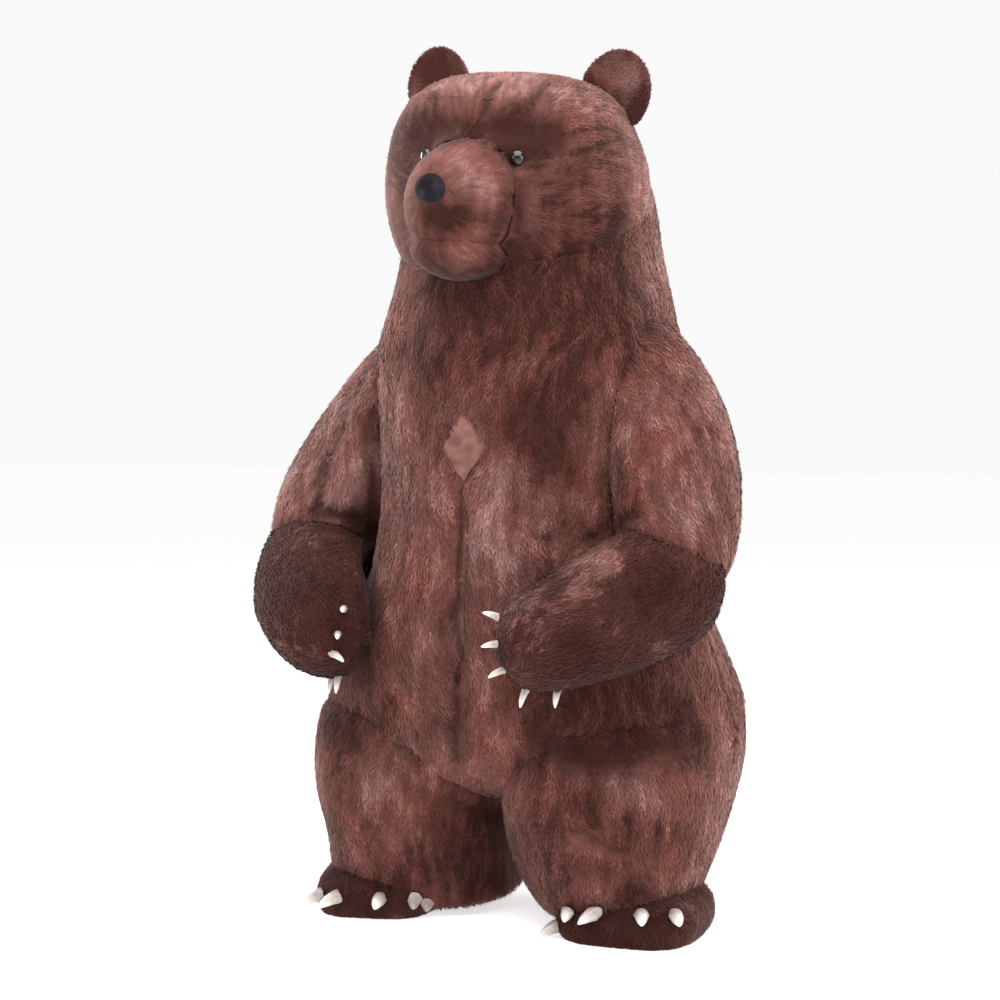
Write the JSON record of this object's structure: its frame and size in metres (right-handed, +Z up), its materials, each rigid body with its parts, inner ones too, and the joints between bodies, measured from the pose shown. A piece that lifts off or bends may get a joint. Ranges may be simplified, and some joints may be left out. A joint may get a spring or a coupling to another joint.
{
  "type": "bear mascot costume",
  "caption": "Full-body plush bear suit, filled out and standing, with a large head, round ears, blunt muzzle, bent arms, curved claws and a diamond vision window in the chest.",
  "frame": {"origin": "on the floor under the middle of the suit's box", "axes": "+Z up, the suit faces -Y, and +X is towards the suit's left"},
  "size_m": [1.558, 1.2252, 2.6153],
  "materials": {
    "fur_brown": "long brown pile",
    "fur_dark": "long dark brown pile",
    "window_cloth": "smooth thin cloth",
    "nose_pile": "short dark pile",
    "eye_gloss": "polished",
    "claw_ivory": "satin"
  },
  "bodies": {
    "root": {"front_left": "fur_brown", "front_right": "fur_brown", "back_left": "fur_brown", "back_right": "fur_brown", "face_left": "fur_brown", "face_right": "fur_brown", "nape_left": "fur_brown", "nape_right": "fur_brown", "sleeve_left": "fur_brown", "sleeve_right": "fur_brown", "leg_outer_left": "fur_brown", "leg_outer_right": "fur_brown", "leg_inner_left": "fur_brown", "leg_inner_right": "fur_brown", "ear_back_left": "fur_brown", "ear_back_right": "fur_brown", "crown": "fur_brown", "muzzle": "fur_brown", "jaw": "fur_brown", "forearm_upper_left": "fur_dark", "forearm_upper_right": "fur_dark", "forearm_under_left": "fur_dark", "forearm_under_right": "fur_dark", "foot_left": "fur_dark", "foot_right": "fur_dark", "ear_front_left": "fur_dark", "ear_front_right": "fur_dark", "window": "window_cloth", "nose": "nose_pile", "eye_left": "eye_gloss", "eye_right": "eye_gloss", "claw_paw_left_1": "claw_ivory", "claw_paw_left_2": "claw_ivory", "claw_paw_left_3": "claw_ivory", "claw_paw_left_4": "claw_ivory", "claw_paw_left_5": "claw_ivory", "claw_paw_right_1": "claw_ivory", "claw_paw_right_2": "claw_ivory", "claw_paw_right_3": "claw_ivory", "claw_paw_right_4": "claw_ivory", "claw_paw_right_5": "claw_ivory", "claw_foot_left_1": "claw_ivory", "claw_foot_left_2": "claw_ivory", "claw_foot_left_3": "claw_ivory", "claw_foot_left_4": "claw_ivory", "claw_foot_left_5": "claw_ivory", "claw_foot_right_1": "claw_ivory", "claw_foot_right_2": "claw_ivory", "claw_foot_right_3": "claw_ivory", "claw_foot_right_4": "claw_ivory", "claw_foot_right_5": "claw_ivory"}
  },
  "joints": []
}
